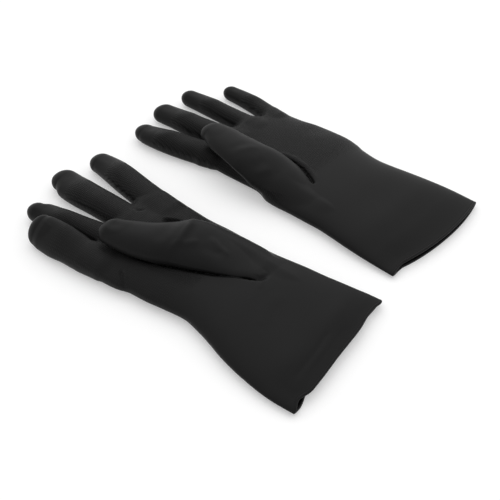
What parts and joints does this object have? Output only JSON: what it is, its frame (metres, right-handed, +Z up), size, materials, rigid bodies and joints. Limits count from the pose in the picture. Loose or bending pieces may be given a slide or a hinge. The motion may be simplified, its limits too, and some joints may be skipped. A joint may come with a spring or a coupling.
{
  "type": "electrical insulating gloves",
  "caption": "Pair of black rubber gauntlet gloves with flared cuffs, rolled mouth beads and bendable fingers, laid palms up.",
  "frame": {"origin": "centre of the pair's bounding box at its base, on the surface that the gloves lie on", "axes": "+Z up from the surface, +Y towards the fingertips, +X from the right-hand glove to the left-hand glove"},
  "size_m": [0.3256, 0.3592, 0.0509],
  "materials": {
    "black_rubber": "satin black dipped rubber, with a fine grip pattern on the palm side"
  },
  "bodies": {
    "right_hand": {"right_hand_shell": "black_rubber"},
    "right_cuff": {"right_gauntlet_cuff": "black_rubber", "right_cuff_bead": "black_rubber"},
    "right_index_finger": {"right_index_finger_stall": "black_rubber"},
    "right_middle_finger": {"right_middle_finger_stall": "black_rubber"},
    "right_ring_finger": {"right_ring_finger_stall": "black_rubber"},
    "right_little_finger": {"right_little_finger_stall": "black_rubber"},
    "right_thumb": {"right_thumb_stall": "black_rubber"},
    "left_hand": {"left_hand_shell": "black_rubber"},
    "left_cuff": {"left_gauntlet_cuff": "black_rubber", "left_cuff_bead": "black_rubber"},
    "left_index_finger": {"left_index_finger_stall": "black_rubber"},
    "left_middle_finger": {"left_middle_finger_stall": "black_rubber"},
    "left_ring_finger": {"left_ring_finger_stall": "black_rubber"},
    "left_little_finger": {"left_little_finger_stall": "black_rubber"},
    "left_thumb": {"left_thumb_stall": "black_rubber"}
  },
  "joints": [
    {"name": "right_wrist_bend", "type": "hinge", "parent": "right_hand", "child": "right_cuff", "pos_m": [-0.09178, -0.08757, 0.023], "axis": [-0.9983, -0.0576, 0], "range_deg": [0, 60], "stiffness_Nm_per_rad": 0.25},
    {"name": "right_index_curl", "type": "hinge", "parent": "right_hand", "child": "right_index_finger", "pos_m": [-0.05007, 0.0751, 0.0225], "axis": [0.9983, 0.0576, 0], "range_deg": [0, 70], "stiffness_Nm_per_rad": 0.04},
    {"name": "right_middle_curl", "type": "hinge", "parent": "right_hand", "child": "right_middle_finger", "pos_m": [-0.08242, 0.07324, 0.0225], "axis": [0.9983, 0.0576, 0], "range_deg": [0, 70], "stiffness_Nm_per_rad": 0.04},
    {"name": "right_ring_curl", "type": "hinge", "parent": "right_hand", "child": "right_ring_finger", "pos_m": [-0.11287, 0.07148, 0.0225], "axis": [0.9983, 0.0576, 0], "range_deg": [0, 70], "stiffness_Nm_per_rad": 0.04},
    {"name": "right_little_curl", "type": "hinge", "parent": "right_hand", "child": "right_little_finger", "pos_m": [-0.14332, 0.06972, 0.0225], "axis": [0.9983, 0.0576, 0], "range_deg": [0, 70], "stiffness_Nm_per_rad": 0.04},
    {"name": "right_thumb_lift", "type": "hinge", "parent": "right_hand", "child": "right_thumb", "pos_m": [-0.10541, 0.02383, 0.0515], "axis": [0.9983, 0.0576, 0], "range_deg": [0, 50], "stiffness_Nm_per_rad": 0.04},
    {"name": "left_glove_lift", "type": "slide", "parent": "right_hand", "child": "left_hand", "axis": [0, 0, 1], "range_m": [0, 0.25]},
    {"name": "left_wrist_bend", "type": "hinge", "parent": "left_hand", "child": "left_cuff", "pos_m": [0.08548, -0.0764, 0.023], "axis": [-0.9983, 0.0576, 0], "range_deg": [0, 60], "stiffness_Nm_per_rad": 0.25},
    {"name": "left_index_curl", "type": "hinge", "parent": "left_hand", "child": "left_index_finger", "pos_m": [0.04204, 0.09439, 0.0225], "axis": [0.9983, -0.0576, 0], "range_deg": [0, 70], "stiffness_Nm_per_rad": 0.04},
    {"name": "left_middle_curl", "type": "hinge", "parent": "left_hand", "child": "left_middle_finger", "pos_m": [0.07968, 0.09222, 0.0225], "axis": [0.9983, -0.0576, 0], "range_deg": [0, 70], "stiffness_Nm_per_rad": 0.04},
    {"name": "left_ring_curl", "type": "hinge", "parent": "left_hand", "child": "left_ring_finger", "pos_m": [0.11612, 0.09012, 0.0225], "axis": [0.9983, -0.0576, 0], "range_deg": [0, 70], "stiffness_Nm_per_rad": 0.04},
    {"name": "left_little_curl", "type": "hinge", "parent": "left_hand", "child": "left_little_finger", "pos_m": [0.14427, 0.0885, 0.0225], "axis": [0.9983, -0.0576, 0], "range_deg": [0, 70], "stiffness_Nm_per_rad": 0.04},
    {"name": "left_thumb_lift", "type": "hinge", "parent": "left_hand", "child": "left_thumb", "pos_m": [0.0465, 0.03804, 0.0485], "axis": [0.9983, -0.0576, 0], "range_deg": [0, 50], "stiffness_Nm_per_rad": 0.04}
  ]
}
